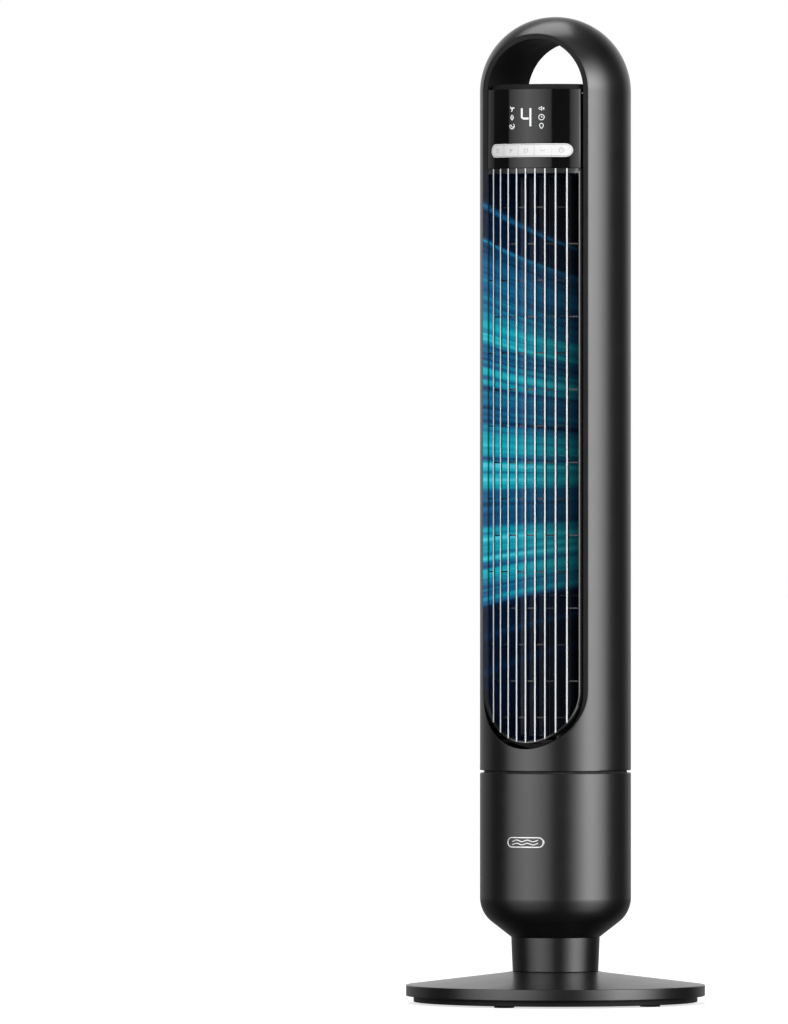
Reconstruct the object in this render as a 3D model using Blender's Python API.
"""Tower fan: a round weighted base, a short neck, a fixed lower housing and a column that swings.

Metres, +Z up. The origin is the centre of the base, on the floor, and the air leaves towards -Y.
The column turns about Z on the lower housing. Inside it a long cross-flow impeller spins on an
upright axis, and five keys under the display press backwards.
"""

import math

import bmesh
import bpy
from mathutils import Matrix, Vector

# ---------------------------------------------------------------------------------------------
# Driving dimensions
# ---------------------------------------------------------------------------------------------

# Fits and walls
FIT_GAP = 0.0003            # between pieces that touch
RUNNING_GAP = 0.0005        # between pieces that turn in each other
SHELL_WALL = 0.0025         # housing, column and duct mouldings
SMALL_CHAMFER = 0.0010      # on motors, bushes and covers
WELD = 0.0004               # how far a joined-on shape sinks into its body
CUT_MARGIN = 0.0020         # how far a cutting shape reaches past the wall that it cuts

# Screws
SCREW_SHANK_RADIUS = 0.0015
SCREW_HEAD_RADIUS = 0.0034
SCREW_HEAD_HEIGHT = 0.0022
PILOT_RADIUS = 0.0018       # hole that a screw goes into
CLEARANCE_RADIUS = 0.0020   # hole that a screw goes through

# Overall
TOTAL_HEIGHT = 1.080
COLUMN_RADIUS = 0.0827
BASE_RADIUS = 0.1637
HOUSING_TOP = 0.2527        # top edge of the fixed lower housing
SEAM_GAP = 0.0028           # open groove between the housing and the column

# Base
TRAY_SETBACK = 0.0082       # how far the lower tier stands in from the rim
TIER_HEIGHT = 0.0085        # top of the lower tier, where the rim starts
RIM_HEIGHT = 0.0121         # upright face of the rim
BASE_PEAK = 0.0355          # where the cone meets the neck
STEEP_WIDTH = 0.0150        # band round the neck where the cone gets steeper
STEEP_DROP = 0.0005         # how far that band's edge lies below a straight cone
COVER_WALL = 0.0032
EDGE_CHAMFER = 0.0010
TRAY_LIFT = 0.0020          # underside of the tray above the floor
TRAY_WALL = 0.0025
SERVICE_HOLE_RADIUS = 0.0560
BALLAST_THICKNESS = 0.0040
BALLAST_RADIUS = 0.1400
BALLAST_INSET = 0.0060      # ballast's inner edge outside the service hole
FOOT_COUNT = 5
FOOT_RADIUS = 0.0110
FOOT_CIRCLE = 0.1380
FOOT_CHAMFER = 0.0005

# Neck
NECK_FOOT_RADIUS = 0.0470
NECK_TOP_RADIUS = 0.0485
NECK_HEIGHT = 0.0370
NECK_WALL = 0.0030
CABLE_WAY_RADIUS = 0.0300   # open middle of the neck, the housing floor and the base cover
SPIGOT_LENGTH = 0.0190
NUT_HEIGHT = 0.0095
NUT_RADIUS = 0.0400
NUT_LOBES = 8
NUT_LOBE_HEIGHT = 0.0020
NECK_SCREWS = 4
NECK_SCREW_CIRCLE = 0.0380

# Lower housing
BOWL_SLOPE = math.radians(38)
BOWL_ARC_RADIUS = 0.0340
BOARD_LIFT = 0.0420         # power board above the housing floor
BOARD_SIZE = (0.0860, 0.0560, 0.0016)
POWER_COMPONENTS = (        # middle (x, y) and size of what stands on the power board
    ((-0.0220, 0.0060), (0.0260, 0.0220, 0.0220)),     # transformer
    ((0.0120, 0.0120), (0.0160, 0.0120, 0.0140)),      # capacitors
    ((0.0300, -0.0100), (0.0080, 0.0200, 0.0200)),     # heat sink
    ((0.0040, -0.0140), (0.0200, 0.0100, 0.0120)),     # cord terminals
)
BOARD_POST_INSET = 0.0050   # posts inside the board's edges
POST_RADIUS = 0.0030
GLAND_HEIGHT = 0.1350
GLAND_FLANGE_RADIUS = 0.0090
GLAND_BODY_RADIUS = 0.0062
GLAND_BORE_RADIUS = 0.0036
GLAND_FLANGE_THICKNESS = 0.0015
GLAND_NOSE = 0.0060         # how far the gland stands out behind the housing
GLAND_TAIL = 0.0040         # and how far it reaches in past the wall
BADGE_HEIGHT = 0.1780
BADGE_SIZE = (0.0440, 0.0120)
BADGE_THICKNESS = 0.0007

# Swing bearing and drive
DECK_DEPTH = 0.0277         # deck top below the housing's top edge
DECK_THICKNESS = 0.0035
DECK_SCREWS = 3
DECK_SCREW_INSET = 0.0062   # screw line inside the housing wall
DECK_BOSS_LENGTH = 0.0300
DECK_SCREW_GRIP = 0.0080    # length of a deck screw in its boss
DECK_PILOT_DEPTH = 0.0120
TRACK_RADII = (0.0600, 0.0680)
TRACK_HEIGHT = 0.0040
GLIDE_INSET = 0.0010        # glide ring's edges inside the track's edges
GLIDE_THICKNESS = 0.0038
PLATE_THICKNESS = 0.0030
SKIRT_SETBACK = 0.0044      # groove floor behind the column's surface
HUB_RADIUS = 0.0170
HUB_BORE_RADIUS = 0.0115
HUB_WALL = 0.0025
COLLAR_HEIGHT = 0.0023      # deck collar around the hub, below the deck
COLLAR_WALL = 0.0020
COLLAR_GAP = 0.0002         # end play of the hub under the collar
THREAD_END = 0.0040         # hub left below the retainer
FLANGE_LIFT = 0.0010        # turntable flange above the column's lower edge
RETAINER_THICKNESS = 0.0032
RETAINER_WIDTH = 0.0072
TOOTH_MODULE = 0.0015
GEAR_TEETH = 48
PINION_TEETH = 12
GEAR_WIDTH = 0.0060
GEAR_RIM = 0.0055
TOOTH_BACKLASH = 0.0006
TOOTH_ABOVE = 0.85          # tooth above the pitch line, in modules
TOOTH_BELOW = 1.20          # and below it
PRESSURE_ANGLE = math.radians(20)
PINION_SHAFT_RADIUS = 0.0025
SWING_MOTOR_RADIUS = 0.0225
SWING_MOTOR_HEIGHT = 0.0177
MOTOR_BOSS_RADIUS = 0.0050
SHAFT_END = 0.0040          # floor of the motor's bore above its underside

# Column openings and handle
RIM_SETBACK = 0.0282        # flat rim face behind the column's front
RIM_WIDTH = 0.0055
BEZEL_THICKNESS = 0.0030
BEZEL_DEPTH = 0.0105
BEZEL_WALL = 0.0025
OPENING_LOW_CENTRE = 0.3420
HEAD_FLOOR = 0.0017         # top of the display above the dome's centre
CAP_THICKNESS = 0.0052
CAP_SETBACK = 0.0102        # handle floor behind the column's surface
CAP_CHAMFER = 0.0040
CAP_SIDE_GAP = 0.0010       # to the tunnel's wall, and back from the dome's surface
CAP_REAR_GAP = 0.0015       # to the sides of the rear opening

# Rear intake
REAR_HALF_ANGLE = math.radians(66)
REAR_LOW = 0.0135           # above the column's lower edge
REAR_TOP = 0.0683           # below the dome's centre
REAR_GRILLE_SETBACK = 0.0002    # grille's face behind the column's surface
REAR_GRILLE_WALL = 0.0025
REAR_BORDER = 0.0060
REAR_BAR_WIDTH = 0.0032
REAR_SLOTS = 13
REAR_ROWS = 3
NOTCH_HEIGHT = 0.0110
NOTCH_DEPTH = 0.0006
NOTCH_WIDTH = 0.0050
NOTCH_OVERLAP = 0.0010      # notch opens this far into the intake window

# Display and keys
PANEL_SETBACK = 0.0032      # display surface behind the column's surface
PANEL_HEIGHT = 0.0863
PANEL_SIDE_GAP = 0.0017
PANEL_LIP = 0.0095
KEY_STRIP_HALF_LENGTH = 0.0490
KEY_STRIP_HEIGHT = 0.0154
KEY_STRIP_DROP = 0.0670     # key strip's middle below the display's top edge
KEY_FRAME_WIDTH = 0.0011
KEY_PITCH = 0.0190
KEY_THICKNESS = 0.0025
KEY_PROUD = 0.0003
KEY_TRAVEL = 0.0006
KEY_END_SHARE = 0.985       # how far the end keys reach into the strip's round ends
KEY_NAMES = ("key_mode", "key_speed", "key_power", "key_swing", "key_timer")
DISPLAY_BOARD_SIZE = (0.0980, 0.0016, 0.0740)
DISPLAY_BOARD_DEPTH = 0.0220
DISPLAY_BOARD_LIFT = 0.0030 # board's lower edge above the display's
LAMP_BLOCK = (0.0460, 0.0100, 0.0300)
LAMP_BLOCK_DROP = 0.0310    # its middle below the display's top edge
SWITCH_SIZE = 0.0050
CONTROL_BOARD_Y = 0.0200
CONTROL_BOARD_WIDTH = 0.0840
CONTROL_BOARD_THICKNESS = 0.0016
CONTROL_BOARD_LIFT = 0.0040
CONTROL_COMPONENTS = (      # middle x, middle below the board's top edge, and size
    (-0.0220, 0.0180, (0.0200, 0.0100, 0.0180)),       # relay
    (0.0200, 0.0200, (0.0180, 0.0060, 0.0180)),        # processor can
    (0.0000, 0.0523, (0.0500, 0.0080, 0.0100)),        # plug row
)
CONTROL_BOARD_DROP = 0.0140

# Front grille
GRILLE_SETBACK = 0.0012
GRILLE_DEPTH = 0.0100
GRILLE_FRAME_WIDTH = 0.0018
GRILLE_FRAME_DROP = 0.0014
GRILLE_SIDE_GAP = 0.0010
BAR_PITCH = 0.01094
BAR_WIDTH = 0.0017
TIE_PITCH = 0.0397
TIE_HEIGHT = 0.0015
TIE_DROP = 0.0030
TIE_DEPTH = 0.0050
FIRST_TIE_DROP = 0.0417     # first row of ties below the grille's top
BAR_END_SINK = 0.0006       # bars' lower ends inside the frame's outer edge
BAR_TOP_DROP = 0.0002       # bars' upper ends below the frame's top

# Impeller, duct and motor
IMPELLER_RADIUS = 0.0460
IMPELLER_SETBACK = 0.0080   # impeller axis behind the column's axis
IMPELLER_SECTIONS = 4
BLADE_COUNT = 14
BLADE_CHORD = 0.0115
BLADE_THICKNESS = 0.0010
BLADE_PITCH_ANGLE = math.radians(28)
DISC_THICKNESS = 0.0020
IMPELLER_END_GAP = 0.0040
IMPELLER_HUB_WALL = 0.0070
IMPELLER_HUB_HEIGHT = 0.0120
BLADE_INSET = 0.0008        # blade tips inside the discs' edge
BLADE_RING_MARGIN = 0.0015  # rings' inner edge inside the blades
SHAFT_MARGIN = 0.0010       # shafts end this far inside the hubs
DUCT_WALL = 0.0020
DUCT_FLOOR_LIFT = 0.0305    # duct floor above the column's lower edge
DUCT_PLATE = 0.0030
DUCT_ROOF_DROP = 0.0030     # duct roof's underside below the display's lower edge
SCROLL_GAP = 0.0040
SCROLL_START = math.radians(120)
TONGUE_GAP = 0.0040
TONGUE_ANGLE = math.radians(-25)
TONGUE_SIDE_GAP = 0.0020    # tongue's outer edge inside the column's wall
TONGUE_SIDE_ANGLE = math.radians(3)
FAN_MOTOR_RADIUS = 0.0400
FAN_MOTOR_HEIGHT = 0.0297
DAMPER_THICKNESS = 0.0024
SHAFT_RADIUS = 0.0040
SHAFT_LIFT = 0.0085         # drive shaft's lower end above the motor's underside
SHAFT_HOLE_GAP = 0.0025
MOTOR_BORE_LIFT = 0.0060
DAMPER_RADII = (0.0140, 0.0300)
TOP_PIN_RADIUS = 0.0030
TOP_PIN_PROUD = 0.0020      # pin's end above the duct roof
BUSH_GAP = 0.0001
BUSH_BELOW = 0.0020         # bush and boot below the duct roof
BUSH_ABOVE = 0.0030         # and above it
BUSH_WALL = 0.0028
BOOT_WALL = 0.0050
LOOM_RADIUS = 0.0018
LOOM_SIDE_GAP = 0.0030      # between the loom and the column's wall
LOOM_END_GAP = 0.0006       # between the loom's ends and what they plug into

# Roundness
ROUND_STEPS = 40            # outer pieces turned about the column's axis share this count
INNER_STEPS = 32            # pieces that stand inside them
SMALL_STEPS = 20
SCREW_STEPS = 8
DOME_STEPS = 8
DOME_INNER_STEPS = 6
BOWL_STEPS = 4
ARC_STEPS = 18

# ---------------------------------------------------------------------------------------------
# Sizes that follow from the ones above
# ---------------------------------------------------------------------------------------------

COLUMN_LOW = HOUSING_TOP + SEAM_GAP
COLUMN_INNER = COLUMN_RADIUS - SHELL_WALL
DOME_CENTRE = TOTAL_HEIGHT - COLUMN_RADIUS

RIM_TOP = TIER_HEIGHT + RIM_HEIGHT
NECK_LOW = BASE_PEAK + FIT_GAP
NECK_TOP = NECK_LOW + NECK_HEIGHT
HOUSING_LOW = NECK_TOP + FIT_GAP

DECK_TOP = HOUSING_TOP - DECK_DEPTH
DECK_LOW = DECK_TOP - DECK_THICKNESS
GLIDE_LOW = DECK_TOP + TRACK_HEIGHT + FIT_GAP
PLATE_LOW = GLIDE_LOW + GLIDE_THICKNESS + FIT_GAP
SKIRT_RADIUS = COLUMN_RADIUS - SKIRT_SETBACK
GEAR_PITCH_RADIUS = TOOTH_MODULE * GEAR_TEETH / 2
PINION_PITCH_RADIUS = TOOTH_MODULE * PINION_TEETH / 2
PINION_X = GEAR_PITCH_RADIUS + PINION_PITCH_RADIUS
DECK_SCREW_CIRCLE = COLUMN_INNER - DECK_SCREW_INSET

FACE_Y = -(COLUMN_RADIUS - RIM_SETBACK)
OPENING_HALF = math.sqrt(COLUMN_RADIUS**2 - FACE_Y**2)
TUNNEL_RADIUS = OPENING_HALF - RIM_WIDTH
BEZEL_BACK = FACE_Y + BEZEL_DEPTH
PANEL_TOP = DOME_CENTRE + HEAD_FLOOR
PANEL_LOW = PANEL_TOP - PANEL_HEIGHT
PANEL_RADIUS = COLUMN_RADIUS - PANEL_SETBACK
PANEL_HALF = TUNNEL_RADIUS - PANEL_SIDE_GAP
KEY_STRIP_Z = PANEL_TOP - KEY_STRIP_DROP
KEY_RADIUS = PANEL_RADIUS + KEY_PROUD

GRILLE_RADIUS = COLUMN_RADIUS - GRILLE_SETBACK
GRILLE_BACK = GRILLE_RADIUS - GRILLE_DEPTH
GRILLE_TOP = PANEL_LOW - FIT_GAP
GRILLE_HALF = TUNNEL_RADIUS - GRILLE_SIDE_GAP
BARS_EACH_SIDE = int((GRILLE_HALF - GRILLE_FRAME_WIDTH - BAR_WIDTH) / BAR_PITCH)

DUCT_FLOOR_LOW = COLUMN_LOW + DUCT_FLOOR_LIFT
DUCT_FLOOR_TOP = DUCT_FLOOR_LOW + DUCT_PLATE
DUCT_ROOF_LOW = PANEL_LOW - DUCT_ROOF_DROP
DUCT_ROOF_TOP = DUCT_ROOF_LOW + DUCT_PLATE
DUCT_PLATE_RADIUS = GRILLE_BACK - 0.0015
IMPELLER_LOW = DUCT_FLOOR_TOP + IMPELLER_END_GAP
IMPELLER_TOP = DUCT_ROOF_LOW - IMPELLER_END_GAP
REAR_GRILLE_LOW = COLUMN_LOW + REAR_LOW
REAR_GRILLE_TOP = DOME_CENTRE - REAR_TOP


# ---------------------------------------------------------------------------------------------
# Materials
# ---------------------------------------------------------------------------------------------

def make_material(name, colour, roughness, metallic=0.0):
    material = bpy.data.materials.new(name)
    material.use_nodes = True
    shader = material.node_tree.nodes["Principled BSDF"]
    shader.inputs["Base Color"].default_value = (*colour, 1.0)
    shader.inputs["Roughness"].default_value = roughness
    shader.inputs["Metallic"].default_value = metallic
    return material


# ---------------------------------------------------------------------------------------------
# Shape helpers
# ---------------------------------------------------------------------------------------------

def finish_object(name, mesh_builder, material=None, parent=None, location=(0, 0, 0)):
    """Turn a bmesh into a smooth-shaded object with outward faces."""
    bmesh.ops.recalc_face_normals(mesh_builder, faces=mesh_builder.faces)
    mesh = bpy.data.meshes.new(name)
    mesh_builder.to_mesh(mesh)
    mesh_builder.free()
    mesh.shade_smooth()
    mesh.set_sharp_from_angle(angle=math.radians(35))
    item = bpy.data.objects.new(name, mesh)
    bpy.context.scene.collection.objects.link(item)
    item.location = location
    if parent:
        item.parent = parent
    if material:
        mesh.materials.append(material)
    return item


def make_axis(name, location, parent=None):
    """An empty that marks a joint's axis and carries what turns with it."""
    axis = bpy.data.objects.new(name, None)
    bpy.context.scene.collection.objects.link(axis)
    axis.location = location
    axis.parent = parent
    axis.empty_display_size = 0.02
    return axis


def turned(name, outline, material=None, steps=ROUND_STEPS, sweep=math.tau, start=0.0, **place):
    """Spin a closed (radius, height) outline about Z, whole or over a sweep with end faces."""
    bm = bmesh.new()
    turn = Matrix.Rotation(start, 3, "Z")
    verts = [bm.verts.new(turn @ Vector((radius, 0, height))) for radius, height in outline]
    edges = [bm.edges.new(pair) for pair in zip(verts, verts[1:] + verts[:1])]
    whole = sweep >= math.tau
    made = bmesh.ops.spin(bm, geom=verts + edges, cent=(0, 0, 0), axis=(0, 0, 1),
                          angle=sweep, steps=steps, use_merge=whole)
    if not whole:
        last = [item for item in made["geom_last"] if isinstance(item, bmesh.types.BMEdge)]
        bmesh.ops.contextual_create(bm, geom=edges)
        bmesh.ops.contextual_create(bm, geom=last)
    bmesh.ops.remove_doubles(bm, verts=bm.verts, dist=1e-7)
    loose = [edge for edge in bm.edges if not edge.link_faces]
    bmesh.ops.delete(bm, geom=loose, context="EDGES")
    return finish_object(name, bm, material, **place)


def add_loft(bm, sections):
    """Skin closed sections that have equal point counts, and cap both ends."""
    rings = [[bm.verts.new(point) for point in section] for section in sections]
    count = len(rings[0])
    for low, high in zip(rings, rings[1:]):
        for i in range(count):
            j = (i + 1) % count
            bm.faces.new((low[i], low[j], high[j], high[i]))
    bm.faces.new(rings[0][::-1])
    bm.faces.new(rings[-1])


def lofted(name, sections, material=None, **place):
    bm = bmesh.new()
    add_loft(bm, sections)
    return finish_object(name, bm, material, **place)


def prism(name, outline, low, high, material=None, **place):
    """Extrude an (x, y) outline from one height to another."""
    sections = [[(x, y, z) for x, y in outline] for z in (low, high)]
    return lofted(name, sections, material, **place)


def cross_prism(name, outline, front, back, material=None, **place):
    """Extrude an (x, z) outline along Y."""
    sections = [[(x, y, z) for x, z in outline] for y in (front, back)]
    return lofted(name, sections, material, **place)


def ring_on_column(name, outer, inner, front_radius, back_radius, material=None, **place):
    """A closed band between two (x, z) outlines, bent to stand on two upright cylinders."""
    bm = bmesh.new()
    stations = []
    for (xo, zo), (xi, zi) in zip(outer, inner):
        corners = ((xo, zo, front_radius), (xi, zi, front_radius),
                   (xi, zi, back_radius), (xo, zo, back_radius))
        stations.append([bm.verts.new((x, on_cylinder(x, radius), z)) for x, z, radius in corners])
    for i, here in enumerate(stations):
        there = stations[(i + 1) % len(stations)]
        for k in range(4):
            n = (k + 1) % 4
            bm.faces.new((here[k], here[n], there[n], there[k]))
    return finish_object(name, bm, material, **place)


def on_cylinder(x, radius):
    """Y of the front of an upright cylinder at x."""
    return -math.sqrt(radius**2 - x**2)


def boxes(name, items, material=None, **place):
    """Several separate boxes in one mesh, each (centre, size, turn about Z)."""
    bm = bmesh.new()
    for centre, size, turn in items:
        shape = Matrix.Translation(centre) @ Matrix.Rotation(turn, 4, "Z") @ Matrix.Diagonal((*size, 1))
        bmesh.ops.create_cube(bm, size=1, matrix=shape)
    return finish_object(name, bm, material, **place)


def posts(name, items, steps=SMALL_STEPS, material=None, **place):
    """Several separate upright round posts in one mesh, each (x, y, radius, low, high)."""
    bm = bmesh.new()
    for x, y, radius, low, high in items:
        shape = Matrix.Translation((x, y, (low + high) / 2))
        bmesh.ops.create_cone(bm, cap_ends=True, segments=steps, radius1=radius, radius2=radius,
                              depth=high - low, matrix=shape)
    return finish_object(name, bm, material, **place)


def combine(item, tool, operation):
    """Boolean the tool into the item, and keep the tool as a hidden guide."""
    tool.hide_render = True
    tool.display_type = "WIRE"
    step = item.modifiers.new(tool.name, "BOOLEAN")
    step.object = tool
    step.operation = operation
    step.solver = "EXACT"


def circle_points(radius, count, start=0.0, centre=(0.0, 0.0)):
    angles = [start + math.tau * i / count for i in range(count)]
    return [(centre[0] + radius * math.cos(a), centre[1] + radius * math.sin(a)) for a in angles]


def arc_points(radius, first, last, steps, centre=(0.0, 0.0)):
    angles = [first + (last - first) * i / steps for i in range(steps + 1)]
    return [(centre[0] + radius * math.cos(a), centre[1] + radius * math.sin(a)) for a in angles]


def upright_stadium(half_width, low_centre, high_centre):
    """(x, z) outline of an upright slot with round ends."""
    top = arc_points(half_width, 0, math.pi, ARC_STEPS, (0, high_centre))
    return top + arc_points(half_width, math.pi, math.tau, ARC_STEPS, (0, low_centre))


def screw(name, x, y, seat, shank_length, material, parent=None):
    """A pan-head screw whose head sits at the height seat."""
    shank, head = SCREW_SHANK_RADIUS, SCREW_HEAD_RADIUS
    head_top = seat + SCREW_HEAD_HEIGHT
    outline = [(0, seat - shank_length), (shank, seat - shank_length), (shank, seat), (head, seat),
               (head, seat + SCREW_HEAD_HEIGHT * 0.6), (head * 0.7, head_top), (0, head_top)]
    return turned(name, outline, material, SCREW_STEPS, location=(x, y, 0), parent=parent)


# ---------------------------------------------------------------------------------------------
# Base and neck
# ---------------------------------------------------------------------------------------------

def make_base(plastic, steel, rubber):
    rim_inner = BASE_RADIUS - COVER_WALL
    chamfer = EDGE_CHAMFER
    steep_radius = NECK_FOOT_RADIUS + STEEP_WIDTH
    slope = (BASE_PEAK - RIM_TOP) / (BASE_RADIUS - NECK_FOOT_RADIUS)
    steep_height = RIM_TOP + (BASE_RADIUS - steep_radius) * slope - STEEP_DROP
    cover = [(BASE_RADIUS - chamfer, TIER_HEIGHT), (BASE_RADIUS, TIER_HEIGHT + chamfer),
             (BASE_RADIUS, RIM_TOP - chamfer), (BASE_RADIUS - chamfer, RIM_TOP),
             (steep_radius, steep_height), (NECK_FOOT_RADIUS, BASE_PEAK),
             (CABLE_WAY_RADIUS, BASE_PEAK), (CABLE_WAY_RADIUS, BASE_PEAK - COVER_WALL),
             (NECK_FOOT_RADIUS, BASE_PEAK - COVER_WALL), (steep_radius, steep_height - COVER_WALL),
             (rim_inner, RIM_TOP - COVER_WALL),
             (rim_inner, TIER_HEIGHT)]
    turned("base_cover", cover, plastic)

    tier = BASE_RADIUS - TRAY_SETBACK
    flange = rim_inner - FIT_GAP
    floor_top = TRAY_LIFT + TRAY_WALL
    flange_low = TIER_HEIGHT + FIT_GAP
    tray = [(SERVICE_HOLE_RADIUS, TRAY_LIFT), (tier - chamfer, TRAY_LIFT),
            (tier, TRAY_LIFT + chamfer), (tier, flange_low), (flange, flange_low),
            (flange, flange_low + TRAY_WALL), (tier - TRAY_WALL, flange_low + TRAY_WALL),
            (tier - TRAY_WALL, floor_top), (SERVICE_HOLE_RADIUS, floor_top)]
    turned("base_tray", tray, plastic)

    ballast_low = floor_top + FIT_GAP
    ballast_inner = SERVICE_HOLE_RADIUS + BALLAST_INSET
    ballast = [(ballast_inner, ballast_low), (BALLAST_RADIUS, ballast_low),
               (BALLAST_RADIUS, ballast_low + BALLAST_THICKNESS),
               (ballast_inner, ballast_low + BALLAST_THICKNESS)]
    turned("ballast_plate", ballast, steel, INNER_STEPS)

    foot_top = TRAY_LIFT - FIT_GAP
    foot = [(0, 0), (FOOT_RADIUS - FOOT_CHAMFER, 0), (FOOT_RADIUS, FOOT_CHAMFER),
            (FOOT_RADIUS, foot_top), (0, foot_top)]
    for i, (x, y) in enumerate(circle_points(FOOT_CIRCLE, FOOT_COUNT, -math.pi / 2)):
        turned(f"foot_pad_{i + 1}", foot, rubber, SCREW_STEPS, location=(x, y, 0))


def make_neck(plastic, nut_plastic, steel):
    spigot = CABLE_WAY_RADIUS - FIT_GAP
    spigot_low = NECK_LOW - SPIGOT_LENGTH
    bore = spigot - NECK_WALL
    plate_low = NECK_TOP - NECK_WALL
    neck = [(bore, spigot_low), (spigot, spigot_low), (spigot, NECK_LOW),
            (NECK_FOOT_RADIUS, NECK_LOW), (NECK_TOP_RADIUS, NECK_TOP),
            (CABLE_WAY_RADIUS, NECK_TOP), (CABLE_WAY_RADIUS, plate_low),
            (NECK_TOP_RADIUS - NECK_WALL, plate_low),
            (NECK_FOOT_RADIUS - NECK_WALL, NECK_LOW + NECK_WALL), (bore, NECK_LOW + NECK_WALL)]
    body = turned("neck", neck, plastic, INNER_STEPS)
    places = circle_points(NECK_SCREW_CIRCLE, NECK_SCREWS, math.pi / 4)
    pilots = [(x, y, PILOT_RADIUS, plate_low - CUT_MARGIN, NECK_TOP + CUT_MARGIN) for x, y in places]
    combine(body, posts("neck_pilot_holes", pilots, SCREW_STEPS), "DIFFERENCE")

    nut_top = BASE_PEAK - COVER_WALL - FIT_GAP
    count = NUT_LOBES * 6
    lobes = [NUT_RADIUS + NUT_LOBE_HEIGHT * math.cos(NUT_LOBES * math.tau * i / count)
             for i in range(count)]
    outline = [(r * math.cos(math.tau * i / count), r * math.sin(math.tau * i / count))
               for i, r in enumerate(lobes)]
    nut = prism("neck_nut", outline, nut_top - NUT_HEIGHT, nut_top, nut_plastic)
    bore_post = [(0, 0, CABLE_WAY_RADIUS, nut_top - NUT_HEIGHT - CUT_MARGIN, nut_top + CUT_MARGIN)]
    combine(nut, posts("neck_nut_bore", bore_post, INNER_STEPS), "DIFFERENCE")

    seat = HOUSING_LOW + SHELL_WALL + FIT_GAP
    for i, (x, y) in enumerate(places):
        screw(f"neck_screw_{i + 1}", x, y, seat, SHELL_WALL + NECK_WALL, steel)


# ---------------------------------------------------------------------------------------------
# Fixed lower housing
# ---------------------------------------------------------------------------------------------

def bowl_outline():
    """Outer and inner (radius, height) lines of the bowl, from the neck up to the straight wall."""
    first = BOWL_SLOPE - math.pi / 2
    centre_radius = COLUMN_RADIUS - BOWL_ARC_RADIUS
    foot_radius = NECK_TOP_RADIUS + FIT_GAP
    arc_start = centre_radius + BOWL_ARC_RADIUS * math.cos(first)
    start_height = HOUSING_LOW + (arc_start - foot_radius) * math.tan(BOWL_SLOPE)
    centre = (centre_radius, start_height - BOWL_ARC_RADIUS * math.sin(first))
    outer = [(foot_radius, HOUSING_LOW)]
    outer += arc_points(BOWL_ARC_RADIUS, first, 0, BOWL_STEPS, centre)
    inner = arc_points(BOWL_ARC_RADIUS - SHELL_WALL, 0, first, BOWL_STEPS - 1, centre)
    floor_top = HOUSING_LOW + SHELL_WALL
    floor_edge = inner[-1][0] - (inner[-1][1] - floor_top) / math.tan(BOWL_SLOPE)
    inner.append((floor_edge, floor_top))
    return outer, inner


def make_lower_housing(plastic, rubber, badge_metal):
    outer, inner = bowl_outline()
    bevel = SHELL_WALL * 0.3
    outline = outer + [(COLUMN_RADIUS, HOUSING_TOP - bevel), (COLUMN_RADIUS - bevel, HOUSING_TOP),
                       (COLUMN_INNER, HOUSING_TOP)]
    outline += inner + [(CABLE_WAY_RADIUS, HOUSING_LOW + SHELL_WALL), (CABLE_WAY_RADIUS, HOUSING_LOW)]
    housing = turned("lower_housing", outline, plastic)

    board_low = HOUSING_LOW + SHELL_WALL + BOARD_LIFT
    floor_inside = HOUSING_LOW + SHELL_WALL / 2
    half_x = BOARD_SIZE[0] / 2 - BOARD_POST_INSET
    half_y = BOARD_SIZE[1] / 2 - BOARD_POST_INSET
    corners = [(sx * half_x, sy * half_y) for sx in (-1, 1) for sy in (-1, 1)]
    supports = [(x, y, POST_RADIUS, floor_inside, board_low - FIT_GAP) for x, y in corners]
    deck_places = circle_points(DECK_SCREW_CIRCLE, DECK_SCREWS, math.pi / 2)
    boss_top = DECK_LOW - FIT_GAP
    boss_radius = DECK_SCREW_INSET + SHELL_WALL * 0.4
    supports += [(x, y, boss_radius, boss_top - DECK_BOSS_LENGTH, boss_top) for x, y in deck_places]
    combine(housing, posts("housing_bosses", supports, SCREW_STEPS), "UNION")

    holes = [(x, y, PILOT_RADIUS, boss_top - DECK_PILOT_DEPTH, boss_top + CUT_MARGIN)
             for x, y in deck_places]
    neck_places = circle_points(NECK_SCREW_CIRCLE, NECK_SCREWS, math.pi / 4)
    floor_low = HOUSING_LOW - CUT_MARGIN
    floor_high = HOUSING_LOW + SHELL_WALL + CUT_MARGIN
    holes += [(x, y, CLEARANCE_RADIUS, floor_low, floor_high) for x, y in neck_places]
    combine(housing, posts("housing_screw_holes", holes, SCREW_STEPS), "DIFFERENCE")

    reach = SHELL_WALL + 2 * CUT_MARGIN
    gland_hole = posts("gland_hole", [(0, 0, GLAND_BODY_RADIUS + FIT_GAP, -reach, reach)])
    gland_hole.location = (0, COLUMN_RADIUS, GLAND_HEIGHT)
    gland_hole.rotation_euler = (math.pi / 2, 0, 0)
    combine(housing, gland_hole, "DIFFERENCE")

    body_end = -SHELL_WALL - GLAND_TAIL
    flange_low = FIT_GAP
    flange_top = flange_low + GLAND_FLANGE_THICKNESS
    gland = [(GLAND_BORE_RADIUS, body_end), (GLAND_BODY_RADIUS, body_end),
             (GLAND_BODY_RADIUS, flange_low), (GLAND_FLANGE_RADIUS, flange_low),
             (GLAND_FLANGE_RADIUS, flange_top),
             (GLAND_FLANGE_RADIUS - SMALL_CHAMFER, flange_top + SMALL_CHAMFER),
             (GLAND_BORE_RADIUS + SMALL_CHAMFER, flange_low + GLAND_NOSE),
             (GLAND_BORE_RADIUS, flange_low + GLAND_NOSE)]
    bush = turned("cord_gland", gland, rubber, SMALL_STEPS)
    bush.location = (0, COLUMN_RADIUS, GLAND_HEIGHT)
    bush.rotation_euler = (-math.pi / 2, 0, 0)

    make_badge(badge_metal)
    return board_low


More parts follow.
